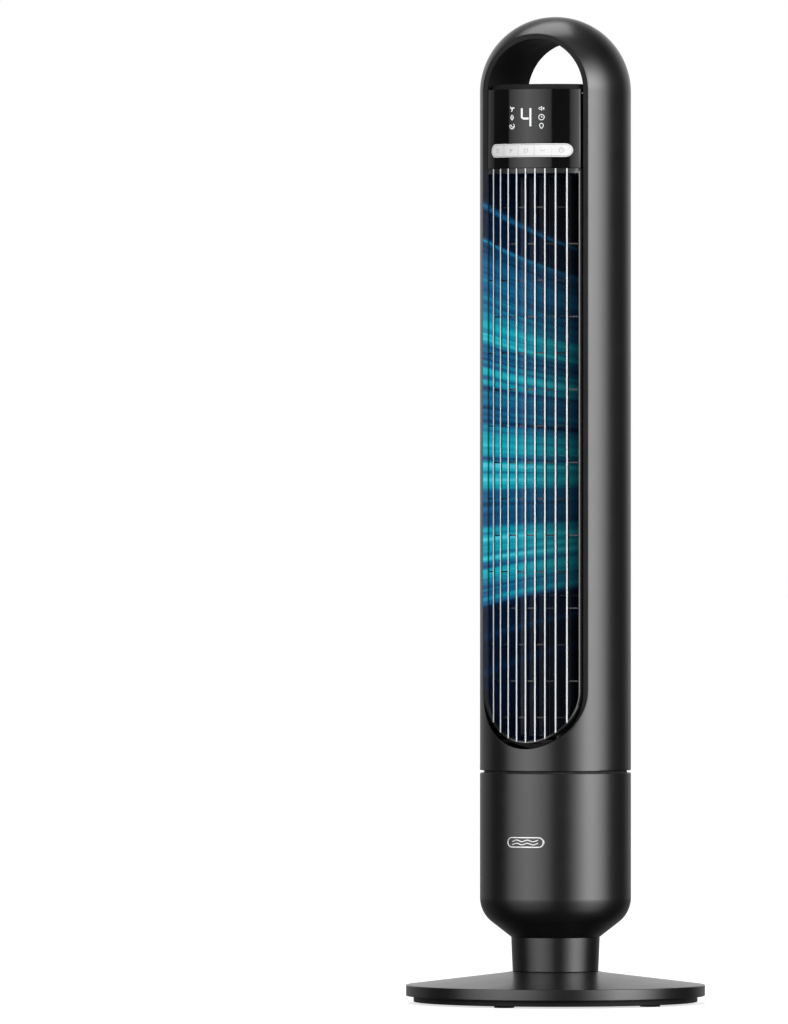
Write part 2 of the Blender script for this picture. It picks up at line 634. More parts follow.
def make_badge(badge_metal):
    """A plain pill-shaped plate on the front of the lower housing, with slightly blunt ends."""
    half_length = BADGE_SIZE[0] / 2
    half_height = BADGE_SIZE[1] / 2
    back = COLUMN_RADIUS + FIT_GAP
    stations = []
    for i in range(ARC_STEPS + 1):
        x = half_length * math.cos(math.pi * (1 - i / ARC_STEPS))
        beyond = max(0.0, abs(x) - (half_length - half_height))
        reach = max(half_height * 0.15, math.sqrt(half_height**2 - beyond**2))
        stations.append((x, BADGE_HEIGHT - reach, BADGE_HEIGHT + reach))
    strip_plate("front_badge", stations, back + BADGE_THICKNESS, back, badge_metal)


def strip_plate(name, stations, front_radius, back_radius, material, **place):
    """A plate bent round the column, built from (x, low, high) stations from left to right."""
    sections = []
    for x, low, high in stations:
        front = on_cylinder(x, front_radius)
        back = on_cylinder(x, back_radius)
        sections.append([(x, front, low), (x, front, high), (x, back, high), (x, back, low)])
    return lofted(name, sections, material, **place)


def components(name, layout, top):
    """Boxes that stand on a level board, from ((x, y), size) entries."""
    placed = []
    for (x, y), size in layout:
        placed.append(((x, y, top + size[2] / 2 - WELD), size, 0))
    return boxes(name, placed)


def make_power_board(board_low, circuit):
    thickness = BOARD_SIZE[2]
    board = boxes("power_board", [((0, 0, board_low + thickness / 2), BOARD_SIZE, 0)], circuit)
    combine(board, components("power_components", POWER_COMPONENTS, board_low + thickness), "UNION")


def make_deck(plastic, glide_plastic, steel):
    hole = HUB_RADIUS + RUNNING_GAP
    collar = hole + COLLAR_WALL
    track_in, track_out = TRACK_RADII
    edge = COLUMN_INNER - FIT_GAP
    track_top = DECK_TOP + TRACK_HEIGHT
    deck = [(hole, DECK_LOW - COLLAR_HEIGHT), (collar, DECK_LOW - COLLAR_HEIGHT), (collar, DECK_LOW),
            (edge, DECK_LOW), (edge, DECK_TOP), (track_out, DECK_TOP), (track_out, track_top),
            (track_in, track_top), (track_in, DECK_TOP), (hole, DECK_TOP)]
    plate = turned("housing_deck", deck, plastic, INNER_STEPS)
    places = circle_points(DECK_SCREW_CIRCLE, DECK_SCREWS, math.pi / 2)
    cut_low = DECK_LOW - CUT_MARGIN
    cut_top = DECK_TOP + CUT_MARGIN
    holes = [(x, y, CLEARANCE_RADIUS, cut_low, cut_top) for x, y in places]
    holes.append((PINION_X, 0, MOTOR_BOSS_RADIUS + RUNNING_GAP, cut_low, cut_top))
    combine(plate, posts("deck_holes", holes, SCREW_STEPS), "DIFFERENCE")
    for i, (x, y) in enumerate(places):
        screw(f"deck_screw_{i + 1}", x, y, DECK_TOP + FIT_GAP, DECK_THICKNESS + DECK_SCREW_GRIP, steel)

    glide_in = track_in + GLIDE_INSET
    glide_out = track_out - GLIDE_INSET
    glide_top = GLIDE_LOW + GLIDE_THICKNESS
    glide = [(glide_in, GLIDE_LOW), (glide_out, GLIDE_LOW), (glide_out, glide_top),
             (glide_in, glide_top)]
    turned("glide_ring", glide, glide_plastic, INNER_STEPS)


# ---------------------------------------------------------------------------------------------
# Swing drive
# ---------------------------------------------------------------------------------------------

def gear_outline(teeth, phase):
    """Spur gear outline with straight flanks, slightly thinned for backlash."""
    pitch_radius = TOOTH_MODULE * teeth / 2
    half_tooth = math.pi * TOOTH_MODULE / 4 - TOOTH_BACKLASH / 2
    flank = math.tan(PRESSURE_ANGLE)
    tip = pitch_radius + TOOTH_ABOVE * TOOTH_MODULE
    root = pitch_radius - TOOTH_BELOW * TOOTH_MODULE
    tip_half = (half_tooth - (tip - pitch_radius) * flank) / tip
    root_half = (half_tooth + (pitch_radius - root) * flank) / root
    points = []
    for i in range(teeth):
        middle = phase + math.tau * i / teeth
        corners = ((root, -root_half), (tip, -tip_half), (tip, tip_half), (root, root_half))
        points += [(r * math.cos(middle + a), r * math.sin(middle + a)) for r, a in corners]
    return points


def make_swing_drive(gear_plastic, motor_metal, swing_axis, pinion_axis):
    gear_top = PLATE_LOW - FIT_GAP
    gear_low = gear_top - GEAR_WIDTH
    ring = prism("ring_gear", gear_outline(GEAR_TEETH, 0), gear_low, gear_top, gear_plastic,
                 parent=swing_axis)
    inner = GEAR_PITCH_RADIUS - TOOTH_BELOW * TOOTH_MODULE - GEAR_RIM
    bore = [(0, 0, inner, gear_low - CUT_MARGIN, gear_top + CUT_MARGIN)]
    combine(ring, posts("ring_gear_bore", bore, INNER_STEPS), "DIFFERENCE")

    motor_top = DECK_LOW - FIT_GAP
    motor_low = motor_top - SWING_MOTOR_HEIGHT
    boss = MOTOR_BOSS_RADIUS
    boss_top = DECK_TOP - RUNNING_GAP
    bore_radius = PINION_SHAFT_RADIUS + RUNNING_GAP
    bore_low = motor_low + SHAFT_END
    motor = [(0, motor_low), (SWING_MOTOR_RADIUS - SMALL_CHAMFER, motor_low),
             (SWING_MOTOR_RADIUS, motor_low + SMALL_CHAMFER), (SWING_MOTOR_RADIUS, motor_top),
             (boss, motor_top), (boss, boss_top), (bore_radius, boss_top), (bore_radius, bore_low),
             (0, bore_low)]
    turned("swing_motor", motor, motor_metal, SMALL_STEPS, location=(PINION_X, 0, 0))

    phase = math.pi / PINION_TEETH
    pinion = prism("swing_pinion", gear_outline(PINION_TEETH, phase), gear_low + RUNNING_GAP,
                   gear_top - RUNNING_GAP, gear_plastic, parent=pinion_axis)
    shaft = [(0, 0, PINION_SHAFT_RADIUS, bore_low + SHAFT_END / 2, gear_low + GEAR_WIDTH / 2)]
    tool = posts("pinion_shaft", shaft, SMALL_STEPS, parent=pinion_axis)
    combine(pinion, tool, "UNION")


def make_turntable(plastic, glide_plastic, swing_axis):
    plate_top = PLATE_LOW + PLATE_THICKNESS
    thread = HUB_BORE_RADIUS + HUB_WALL
    step_height = DECK_LOW - COLLAR_HEIGHT - COLLAR_GAP
    hub_low = step_height - RETAINER_THICKNESS - THREAD_END
    flange_low = COLUMN_LOW + FLANGE_LIFT
    flange_top = flange_low + PLATE_THICKNESS
    flange = COLUMN_INNER - FIT_GAP
    outline = [(HUB_BORE_RADIUS, hub_low), (thread, hub_low), (thread, step_height),
               (HUB_RADIUS, step_height), (HUB_RADIUS, PLATE_LOW), (SKIRT_RADIUS, PLATE_LOW),
               (SKIRT_RADIUS, flange_low), (flange, flange_low), (flange, flange_top),
               (SKIRT_RADIUS - SHELL_WALL, flange_top), (SKIRT_RADIUS - SHELL_WALL, plate_top),
               (HUB_BORE_RADIUS, plate_top)]
    turned("turntable", outline, plastic, INNER_STEPS, parent=swing_axis)

    ring_top = step_height - FIT_GAP
    ring_low = ring_top - RETAINER_THICKNESS
    ring_in = thread + FIT_GAP
    ring = [(ring_in, ring_low), (ring_in + RETAINER_WIDTH, ring_low),
            (ring_in + RETAINER_WIDTH, ring_top), (ring_in, ring_top)]
    turned("turntable_retainer", ring, glide_plastic, INNER_STEPS, parent=swing_axis)


# ---------------------------------------------------------------------------------------------
# Column shell, bezel, handle and rear grille
# ---------------------------------------------------------------------------------------------

def make_outer_shell(plastic, swing_axis):
    dome_outer = arc_points(COLUMN_RADIUS, 0, math.pi / 2, DOME_STEPS, (0, DOME_CENTRE))
    dome_inner = arc_points(COLUMN_INNER, math.pi / 2, 0, DOME_INNER_STEPS, (0, DOME_CENTRE))
    bevel = SHELL_WALL * 0.3
    outline = [(COLUMN_INNER, COLUMN_LOW), (COLUMN_RADIUS - bevel, COLUMN_LOW),
               (COLUMN_RADIUS, COLUMN_LOW + bevel)]
    outline += dome_outer[:-1] + [(0, TOTAL_HEIGHT), (0, TOTAL_HEIGHT - SHELL_WALL)] + dome_inner[1:]
    shell = turned("outer_shell", outline, plastic, parent=swing_axis)

    reach = COLUMN_RADIUS * 1.5
    front = upright_stadium(OPENING_HALF, OPENING_LOW_CENTRE, DOME_CENTRE)
    combine(shell, cross_prism("front_opening", front, -reach, 0), "DIFFERENCE")

    rear_arc = arc_points(OPENING_HALF, 0, math.pi, ARC_STEPS, (0, DOME_CENTRE))
    rear_hole = [(x, max(z, PANEL_TOP)) for x, z in rear_arc]
    rear_hole[0] = (math.sqrt(OPENING_HALF**2 - HEAD_FLOOR**2), PANEL_TOP)
    rear_hole[-1] = (-rear_hole[0][0], PANEL_TOP)
    combine(shell, cross_prism("rear_handle_opening", rear_hole, 0, reach), "DIFFERENCE")

    edge = REAR_HALF_ANGLE + FIT_GAP / COLUMN_RADIUS
    side = (reach * math.sin(edge), reach * math.cos(edge))
    wedge = [(0, 0), side, (side[0], reach), (-side[0], reach), (-side[0], side[1])]
    window = prism("rear_window", wedge, REAR_GRILLE_LOW - FIT_GAP, REAR_GRILLE_TOP + FIT_GAP)
    combine(shell, window, "DIFFERENCE")

    notches = []
    middle = (REAR_GRILLE_LOW + REAR_GRILLE_TOP) / 2
    inset = NOTCH_HEIGHT * 1.5
    notch_heights = (REAR_GRILLE_LOW + inset, middle, REAR_GRILLE_TOP - inset)
    cutter_depth = 2 * SHELL_WALL
    radius = COLUMN_RADIUS - NOTCH_DEPTH + cutter_depth / 2
    for side_sign in (-1, 1):
        angle = math.pi / 2 - side_sign * (edge + (NOTCH_WIDTH / 2 - NOTCH_OVERLAP) / COLUMN_RADIUS)
        for height in notch_heights:
            centre = (radius * math.cos(angle), radius * math.sin(angle), height)
            notches.append((centre, (cutter_depth, NOTCH_WIDTH, NOTCH_HEIGHT), angle))
    combine(shell, boxes("clip_notches", notches), "DIFFERENCE")


def swept_ring(name, section, stations, closed, material=None, **place):
    """Carry a (radius, y) section round (angle, centre height) stations, whole or with end faces."""
    rings = []
    for angle, centre in stations:
        rings.append([(u * math.cos(angle), y, centre + u * math.sin(angle)) for u, y in section])
    if not closed:
        return lofted(name, rings, material, **place)
    bm = bmesh.new()
    made = [[bm.verts.new(point) for point in ring] for ring in rings]
    count = len(section)
    for here, there in zip(made, made[1:] + made[:1]):
        for i in range(count):
            j = (i + 1) % count
            bm.faces.new((here[i], here[j], there[j], there[i]))
    return finish_object(name, bm, material, **place)


def make_opening_bezel(plastic, swing_axis):
    """Flat rim of the front opening, with a short return wall behind its inner edge."""
    outer = OPENING_HALF - FIT_GAP
    wall = TUNNEL_RADIUS + BEZEL_WALL
    behind = FACE_Y + BEZEL_THICKNESS
    section = [(outer, FACE_Y), (TUNNEL_RADIUS, FACE_Y), (TUNNEL_RADIUS, BEZEL_BACK),
               (wall, BEZEL_BACK), (wall, behind), (outer, behind)]
    top = [(math.pi * i / ARC_STEPS, DOME_CENTRE) for i in range(ARC_STEPS + 1)]
    bottom = [(math.pi * (1 + i / ARC_STEPS), OPENING_LOW_CENTRE) for i in range(ARC_STEPS + 1)]
    swept_ring("opening_bezel", section, top + bottom, True, plastic, parent=swing_axis)


def make_handle_liner(plastic, swing_axis):
    """Tunnel of the handle, from the front bezel to its own flat rim at the back."""
    outer = OPENING_HALF - FIT_GAP
    wall = TUNNEL_RADIUS + BEZEL_WALL
    front = BEZEL_BACK + FIT_GAP
    back = -FACE_Y
    section = [(TUNNEL_RADIUS, front), (TUNNEL_RADIUS, back), (outer, back),
               (outer, back - BEZEL_THICKNESS), (wall, back - BEZEL_THICKNESS), (wall, front)]
    foot = math.asin((HEAD_FLOOR + FIT_GAP) / TUNNEL_RADIUS)
    sweep = math.pi - 2 * foot
    stations = [(foot + sweep * i / ARC_STEPS, DOME_CENTRE) for i in range(ARC_STEPS + 1)]
    swept_ring("handle_liner", section, stations, False, plastic, parent=swing_axis)


def make_head_cap(plastic, swing_axis):
    """Raised floor of the handle, between the display's top edge and the back of the dome."""
    low = PANEL_TOP + FIT_GAP
    top = low + CAP_THICKNESS
    rise = top - DOME_CENTRE
    side = math.sqrt(TUNNEL_RADIUS**2 - rise**2) - CAP_SIDE_GAP
    front_radius = COLUMN_RADIUS - CAP_SETBACK
    rear_radius = COLUMN_RADIUS - CAP_SIDE_GAP
    step_y = -FACE_Y + FIT_GAP
    rear_side = math.sqrt(rear_radius**2 - step_y**2) - CAP_REAR_GAP

    def plan(inset):
        half = side - inset
        rear_half = rear_side - inset * 0.4
        edge = math.acos(half / front_radius)
        front = arc_points(front_radius - inset * 0.4, -math.pi + edge, -edge, ARC_STEPS // 2)
        back_edge = math.acos(rear_half / rear_radius)
        back = arc_points(rear_radius - inset * 0.3, back_edge, math.pi - back_edge, ARC_STEPS // 2)
        step = [(half, step_y), (rear_half, step_y)]
        return front + step + back + [(-x, y) for x, y in reversed(step)]

    levels = ((low, 0), (top - CAP_CHAMFER, 0), (top, CAP_CHAMFER))
    sections = [[(x, y, z) for x, y in plan(inset)] for z, inset in levels]
    lofted("head_cap", sections, plastic, parent=swing_axis)


def make_rear_grille(plastic, swing_axis):
    """Curved intake grille: upright bars between slots, crossed by a few level ribs."""
    outer = COLUMN_RADIUS - REAR_GRILLE_SETBACK
    inner = outer - REAR_GRILLE_WALL
    border = REAR_BORDER / outer
    bar = REAR_BAR_WIDTH / outer
    slot = (2 * REAR_HALF_ANGLE - 2 * border - (REAR_SLOTS - 1) * bar) / REAR_SLOTS
    angles = [-REAR_HALF_ANGLE, -REAR_HALF_ANGLE + border]
    for i in range(REAR_SLOTS):
        angles.append(angles[-1] + slot)
        angles.append(angles[-1] + (border if i == REAR_SLOTS - 1 else bar))
    rib = REAR_BAR_WIDTH
    height = REAR_GRILLE_TOP - REAR_GRILLE_LOW
    window = (height - 2 * REAR_BORDER - (REAR_ROWS - 1) * rib) / REAR_ROWS
    levels = [REAR_GRILLE_LOW, REAR_GRILLE_LOW + REAR_BORDER]
    for i in range(REAR_ROWS):
        levels.append(levels[-1] + window)
        levels.append(levels[-1] + (REAR_BORDER if i == REAR_ROWS - 1 else rib))

    bm = bmesh.new()
    corners = {}

    def corner(i, j, radius):
        key = (i, j, radius)
        if key not in corners:
            angle = angles[i]
            corners[key] = bm.verts.new((radius * math.sin(angle), radius * math.cos(angle), levels[j]))
        return corners[key]

    def is_solid(i, j):
        inside = 0 <= i < len(angles) - 1 and 0 <= j < len(levels) - 1
        return inside and not (i % 2 == 1 and j % 2 == 1)

    for i in range(len(angles) - 1):
        for j in range(len(levels) - 1):
            if not is_solid(i, j):
                continue
            cell = ((i, j), (i + 1, j), (i + 1, j + 1), (i, j + 1))
            for radius in (inner, outer):
                bm.faces.new([corner(a, b, radius) for a, b in cell])
            neighbours = ((i, j - 1), (i + 1, j), (i, j + 1), (i - 1, j))
            for k, neighbour in enumerate(neighbours):
                if not is_solid(*neighbour):
                    (a, b), (c, d) = cell[k], cell[(k + 1) % 4]
                    bm.faces.new((corner(a, b, inner), corner(c, d, inner),
                                  corner(c, d, outer), corner(a, b, outer)))
    finish_object("rear_grille", bm, plastic, parent=swing_axis)


# ---------------------------------------------------------------------------------------------
# Front grille
# ---------------------------------------------------------------------------------------------

def bar_low(x, edge):
    """Height where a bar at x meets the round lower end of the frame."""
    return OPENING_LOW_CENTRE - math.sqrt(edge**2 - x**2)


def upright_slab(x, width, low, high, front_radius, back_radius):
    """Two level sections of a thin upright bar that follows the column's curve."""
    corners = []
    for side, radius in ((-1, front_radius), (1, front_radius), (1, back_radius), (-1, back_radius)):
        edge = x + side * width / 2
        corners.append((edge, on_cylinder(edge, radius)))
    return [[(px, py, z) for px, py in corners] for z in (low, high)]


def make_front_grille(plastic, swing_axis):
    def frame_path(half):
        bottom = arc_points(half, math.pi, math.tau, ARC_STEPS, (0, OPENING_LOW_CENTRE))
        inset = GRILLE_HALF - half
        return bottom + [(half, GRILLE_TOP - inset * 3), (-half, GRILLE_TOP - inset * 3)]

    frame_radius = GRILLE_RADIUS - GRILLE_FRAME_DROP
    inner_half = GRILLE_HALF - GRILLE_FRAME_WIDTH
    grille = ring_on_column("front_grille", frame_path(GRILLE_HALF), frame_path(inner_half),
                            frame_radius, GRILLE_BACK, plastic, parent=swing_axis)

    bars = bmesh.new()
    centres = [BAR_PITCH * i for i in range(-BARS_EACH_SIDE, BARS_EACH_SIDE + 1)]
    for x in centres:
        low = bar_low(x, GRILLE_HALF - BAR_END_SINK)
        add_loft(bars, upright_slab(x, BAR_WIDTH, low, GRILLE_TOP - BAR_TOP_DROP,
                                    GRILLE_RADIUS, GRILLE_BACK + WELD))
    combine(grille, finish_object("grille_bars", bars), "UNION")

    ties = bmesh.new()
    edges = [-inner_half, *centres, inner_half]
    tie_front = GRILLE_RADIUS - TIE_DROP
    tie_back = tie_front - TIE_DEPTH
    level = GRILLE_TOP - FIRST_TIE_DROP
    row = 0
    while level > OPENING_LOW_CENTRE - inner_half:
        for k in range(row % 2, len(edges) - 1, 2):
            left, right = edges[k], edges[k + 1]
            lowest = max(bar_low(left, inner_half), bar_low(right, inner_half))
            if level - TIE_HEIGHT < lowest:
                continue
            middle = (left + right) / 2
            width = right - left - BAR_WIDTH * 0.4
            add_loft(ties, upright_slab(middle, width, level - TIE_HEIGHT, level, tie_front, tie_back))
        level -= TIE_PITCH
        row += 1
    combine(grille, finish_object("grille_ties", ties), "UNION")


# ---------------------------------------------------------------------------------------------
# Display, keys and boards
# ---------------------------------------------------------------------------------------------

def make_display_panel(gloss_plastic, swing_axis):
    inner = PANEL_RADIUS - SHELL_WALL
    lip = PANEL_RADIUS - PANEL_LIP
    outline = [(inner, PANEL_LOW), (PANEL_RADIUS, PANEL_LOW), (PANEL_RADIUS, PANEL_TOP),
               (lip, PANEL_TOP), (lip, PANEL_TOP - SHELL_WALL), (inner, PANEL_TOP - SHELL_WALL)]
    half_sweep = math.radians(60)
    panel = turned("display_panel", outline, gloss_plastic, ARC_STEPS, sweep=2 * half_sweep,
                   start=-math.pi / 2 - half_sweep, parent=swing_axis)
    size = (PANEL_HALF * 2, COLUMN_RADIUS * 2, PANEL_HEIGHT * 2)
    keep = boxes("panel_sides", [((0, -COLUMN_RADIUS, PANEL_TOP - PANEL_HEIGHT / 2), size, 0)])
    combine(panel, keep, "INTERSECT")
    slot = cross_prism("key_slot", key_strip_outline(0), -COLUMN_RADIUS * 1.2, -COLUMN_RADIUS * 0.5)
    combine(panel, slot, "DIFFERENCE")


def key_strip_outline(inset):
    """Level slot with round ends around the keys, as (x, z), drawn inset from the panel's cut."""
    radius = KEY_STRIP_HEIGHT / 2 - inset
    offset = KEY_STRIP_HALF_LENGTH - KEY_STRIP_HEIGHT / 2
    ends = ARC_STEPS // 2
    right = arc_points(radius, -math.pi / 2, math.pi / 2, ends, (offset, KEY_STRIP_Z))
    left = arc_points(radius, math.pi / 2, 3 * math.pi / 2, ends, (-offset, KEY_STRIP_Z))
    run = 6
    level = [(-1 + 2 * i / run) * offset for i in range(1, run)]
    top = [(-x, KEY_STRIP_Z + radius) for x in level]
    low = [(x, KEY_STRIP_Z - radius) for x in level]
    return right + top + left + low


def make_keys(white_plastic, swing_axis):
    outer = key_strip_outline(FIT_GAP)
    inner = key_strip_outline(FIT_GAP + KEY_FRAME_WIDTH)
    ring_on_column("key_frame", outer, inner, PANEL_RADIUS + KEY_PROUD / 2,
                   PANEL_RADIUS - SHELL_WALL, white_plastic, parent=swing_axis)

    inset = 2 * FIT_GAP + KEY_FRAME_WIDTH
    radius = KEY_STRIP_HEIGHT / 2 - inset
    offset = KEY_STRIP_HALF_LENGTH - KEY_STRIP_HEIGHT / 2
    end = offset + radius * KEY_END_SHARE
    middle_key = (len(KEY_NAMES) - 1) / 2
    for i, name in enumerate(KEY_NAMES):
        centre = (i - middle_key) * KEY_PITCH
        left = -end if i == 0 else centre - KEY_PITCH / 2 + FIT_GAP / 2
        right = end if i == len(KEY_NAMES) - 1 else centre + KEY_PITCH / 2 - FIT_GAP / 2
        stations = []
        for k in range(9):
            share = (1 - math.cos(math.pi * k / 8)) / 2
            x = left + (right - left) * share
            beyond = max(0.0, abs(x) - offset)
            reach = math.sqrt(radius**2 - beyond**2)
            stations.append((x, -reach, reach))
        key_plate(name, stations, centre, white_plastic, swing_axis)


def key_plate(name, stations, centre, white_plastic, swing_axis):
    """One key with its origin at its own middle."""
    origin_y = on_cylinder(centre, KEY_RADIUS)
    sections = []
    for x, low, high in stations:
        front = on_cylinder(x, KEY_RADIUS) - origin_y
        back = on_cylinder(x, KEY_RADIUS - KEY_THICKNESS) - origin_y
        px = x - centre
        sections.append([(px, front, low), (px, front, high), (px, back, high), (px, back, low)])
    lofted(name, sections, white_plastic, parent=swing_axis, location=(centre, origin_y, KEY_STRIP_Z))


def make_display_board(circuit, swing_axis):
    front = -COLUMN_RADIUS + PANEL_SETBACK + DISPLAY_BOARD_DEPTH
    thickness, height = DISPLAY_BOARD_SIZE[1:]
    middle_z = PANEL_LOW + DISPLAY_BOARD_LIFT + height / 2
    plate = [((0, front + thickness / 2, middle_z), DISPLAY_BOARD_SIZE, 0)]
    board = boxes("display_board", plate, circuit, parent=swing_axis)
    parts = []
    middle_key = (len(KEY_NAMES) - 1) / 2
    for i in range(len(KEY_NAMES)):
        x = (i - middle_key) * KEY_PITCH
        key_back = on_cylinder(abs(x) + SWITCH_SIZE / 2, KEY_RADIUS - KEY_THICKNESS)
        reach = key_back + KEY_TRAVEL + FIT_GAP
        depth = front - reach + WELD
        parts.append(((x, reach + depth / 2, KEY_STRIP_Z), (SWITCH_SIZE, depth, SWITCH_SIZE), 0))
    lamp_y = front - LAMP_BLOCK[1] / 2 + WELD
    parts.append(((0, lamp_y, PANEL_TOP - LAMP_BLOCK_DROP), LAMP_BLOCK, 0))
    combine(board, boxes("display_components", parts), "UNION")


def make_control_board(circuit, swing_axis):
    low = PANEL_LOW + CONTROL_BOARD_LIFT
    high = PANEL_TOP - CONTROL_BOARD_DROP
    size = (CONTROL_BOARD_WIDTH, CONTROL_BOARD_THICKNESS, high - low)
    plate = [((0, CONTROL_BOARD_Y, (low + high) / 2), size, 0)]
    board = boxes("control_board", plate, circuit, parent=swing_axis)
    face = CONTROL_BOARD_Y - CONTROL_BOARD_THICKNESS / 2 + WELD
    parts = []
    for x, below_top, (across, deep, tall) in CONTROL_COMPONENTS:
        parts.append(((x, face - deep / 2, high - below_top), (across, deep, tall), 0))
    combine(board, boxes("control_components", parts), "UNION")


# ---------------------------------------------------------------------------------------------
# Air path: impeller, duct, motor and bearing
# ---------------------------------------------------------------------------------------------

def make_impeller(plastic, steel, impeller_axis):
    length = IMPELLER_TOP - IMPELLER_LOW
    spacing = (length - DISC_THICKNESS) / IMPELLER_SECTIONS
    ring_inner = IMPELLER_RADIUS - BLADE_CHORD - BLADE_RING_MARGIN
    hub_radius = SHAFT_RADIUS + IMPELLER_HUB_WALL
    hub_bore = SHAFT_RADIUS + FIT_GAP
    disc_top = IMPELLER_LOW + DISC_THICKNESS
    hub_top = disc_top + IMPELLER_HUB_HEIGHT
    bottom = [(hub_bore, IMPELLER_LOW), (IMPELLER_RADIUS, IMPELLER_LOW), (IMPELLER_RADIUS, disc_top),
              (hub_radius, disc_top), (hub_radius, hub_top), (hub_bore, hub_top)]
    impeller = turned("impeller", bottom, plastic, SMALL_STEPS, parent=impeller_axis)

    blades = bmesh.new()
    overlap = DISC_THICKNESS * 0.3
    low = IMPELLER_LOW + overlap
    high = IMPELLER_TOP - overlap
    for i in range(BLADE_COUNT):
        middle = math.tau * i / BLADE_COUNT
        radius = IMPELLER_RADIUS - BLADE_CHORD / 2 - BLADE_INSET
        centre = (radius * math.cos(middle), radius * math.sin(middle), (low + high) / 2)
        shape = (Matrix.Translation(centre)
                 @ Matrix.Rotation(middle + BLADE_PITCH_ANGLE, 4, "Z")
                 @ Matrix.Diagonal((BLADE_CHORD, BLADE_THICKNESS, high - low, 1)))
        bmesh.ops.create_cube(blades, size=1, matrix=shape)
    combine(impeller, finish_object("impeller_blades", blades, parent=impeller_axis), "UNION")

    for i in range(1, IMPELLER_SECTIONS):
        ring_low = IMPELLER_LOW + spacing * i
        ring_top = ring_low + DISC_THICKNESS
        ring = [(ring_inner, ring_low), (IMPELLER_RADIUS, ring_low), (IMPELLER_RADIUS, ring_top),
                (ring_inner, ring_top)]
        tool = turned(f"impeller_ring_{i}", ring, None, SMALL_STEPS, parent=impeller_axis)
        combine(impeller, tool, "UNION")

    pin_bore = TOP_PIN_RADIUS + FIT_GAP
    top_low = IMPELLER_TOP - DISC_THICKNESS
    top_hub_low = top_low - IMPELLER_HUB_HEIGHT
    top = [(pin_bore, top_hub_low), (hub_radius, top_hub_low), (hub_radius, top_low),
           (IMPELLER_RADIUS, top_low), (IMPELLER_RADIUS, IMPELLER_TOP), (pin_bore, IMPELLER_TOP)]
    tool = turned("impeller_top_disc", top, None, SMALL_STEPS, parent=impeller_axis)
    combine(impeller, tool, "UNION")

    motor_low = DUCT_FLOOR_LOW - DAMPER_THICKNESS - 2 * FIT_GAP - FAN_MOTOR_HEIGHT
    shaft_low = motor_low + SHAFT_LIFT
    shaft_top = hub_top - SHAFT_MARGIN
    shaft = [(0, shaft_low), (SHAFT_RADIUS, shaft_low), (SHAFT_RADIUS, shaft_top), (0, shaft_top)]
    turned("drive_shaft", shaft, steel, SMALL_STEPS, parent=impeller_axis)
    pin_low = top_hub_low + SHAFT_MARGIN
    pin_top = DUCT_ROOF_TOP + TOP_PIN_PROUD
    pin = [(0, pin_low), (TOP_PIN_RADIUS, pin_low), (TOP_PIN_RADIUS, pin_top), (0, pin_top)]
    turned("top_pin", pin, steel, SMALL_STEPS, parent=impeller_axis)


def make_duct(plastic, swing_axis):
    low = DUCT_FLOOR_TOP + FIT_GAP
    high = DUCT_ROOF_LOW - FIT_GAP
    wall_edge = TUNNEL_RADIUS + BEZEL_WALL
    edge_y = BEZEL_BACK + FIT_GAP

    end_x = -wall_edge
    end_dy = edge_y - IMPELLER_SETBACK
    end_radius = math.hypot(end_x, end_dy)
    end_angle = math.atan2(end_dy, end_x) + math.tau
    start_radius = IMPELLER_RADIUS + SCROLL_GAP + DUCT_WALL
    outer = []
    inner = []
    steps = 14
    for i in range(steps + 1):
        share = i / steps
        angle = SCROLL_START + (end_angle - SCROLL_START) * share
        radius = start_radius + (end_radius - start_radius) * share
        for line, r in ((outer, radius), (inner, radius - DUCT_WALL)):
            line.append((r * math.cos(angle), IMPELLER_SETBACK + r * math.sin(angle)))
    prism("scroll_wall", outer + inner[::-1], low, high, plastic, parent=swing_axis)

    tip_radius = IMPELLER_RADIUS + TONGUE_GAP
    tip = Vector((tip_radius * math.cos(TONGUE_ANGLE),
                  IMPELLER_SETBACK + tip_radius * math.sin(TONGUE_ANGLE)))
    front = Vector((wall_edge - DUCT_WALL, edge_y))
    side_radius = COLUMN_INNER - TONGUE_SIDE_GAP
    side = Vector((side_radius, 0.0)) @ Matrix.Rotation(TONGUE_SIDE_ANGLE, 2)
    inward = ((front - tip).normalized() + (side - tip).normalized()).normalized()
    tip_back = tip + inward * DUCT_WALL * 1.5
    along_front = Vector((DUCT_WALL, 0))
    along_side = Vector((0, -DUCT_WALL))
    outline = [front, tip, side, side + along_side, tip_back, front + along_front]
    prism("duct_tongue", [tuple(point) for point in outline], low, high, plastic, parent=swing_axis)

    chord = math.asin(-edge_y / DUCT_PLATE_RADIUS)
    round_back = arc_points(DUCT_PLATE_RADIUS, -chord, math.pi + chord, INNER_STEPS)
    floor_hole = SHAFT_RADIUS + SHAFT_HOLE_GAP
    roof_hole = TOP_PIN_RADIUS + BUSH_WALL + BOOT_WALL + 3 * FIT_GAP
    plates = (("duct_floor", DUCT_FLOOR_LOW, DUCT_FLOOR_TOP, floor_hole),
              ("duct_roof", DUCT_ROOF_LOW, DUCT_ROOF_TOP, roof_hole))
    for name, plate_low, plate_top, hole in plates:
        plate = prism(name, round_back, plate_low, plate_top, plastic, parent=swing_axis)
        drill = [(0, IMPELLER_SETBACK, hole, plate_low - CUT_MARGIN, plate_top + CUT_MARGIN)]
        combine(plate, posts(name + "_hole", drill), "DIFFERENCE")


